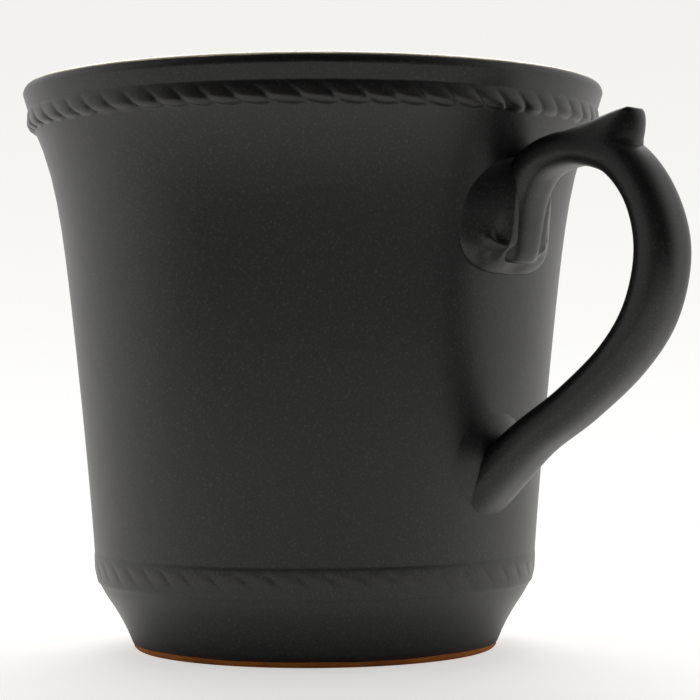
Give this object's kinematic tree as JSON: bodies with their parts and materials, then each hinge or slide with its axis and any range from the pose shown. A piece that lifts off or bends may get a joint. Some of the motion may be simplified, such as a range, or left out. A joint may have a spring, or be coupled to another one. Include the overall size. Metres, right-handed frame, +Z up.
{
  "type": "mug",
  "caption": "Bell-shaped black stoneware mug with rope mouldings at the rim and shoulder, a scroll handle with a thumb rest, and a cream inside, for hot drinks",
  "frame": {"origin": "the middle of the flat ring that the mug stands on, where the cup's axis meets the table", "axes": "+Z up along the cup's axis, +X out through the middle of the handle, +Y to the left of someone who looks along +X"},
  "size_m": [0.1331, 0.1056, 0.102],
  "materials": {
    "clay": "bare fired stoneware, matte",
    "slip": "fired clay slip, matte",
    "black_glaze": "satin matte black glaze with a very fine pale speckle",
    "cream_glaze": "glossy cream glaze"
  },
  "bodies": {
    "root": {"cup_body": "clay", "rim_moulding": "clay", "shoulder_moulding": "clay", "handle_strap": "clay", "thumb_rest": "clay", "upper_slip": "slip", "lower_slip": "slip", "body_glaze": "black_glaze", "handle_glaze": "black_glaze", "liner_glaze": "cream_glaze", "base_glaze": "black_glaze"}
  },
  "joints": []
}
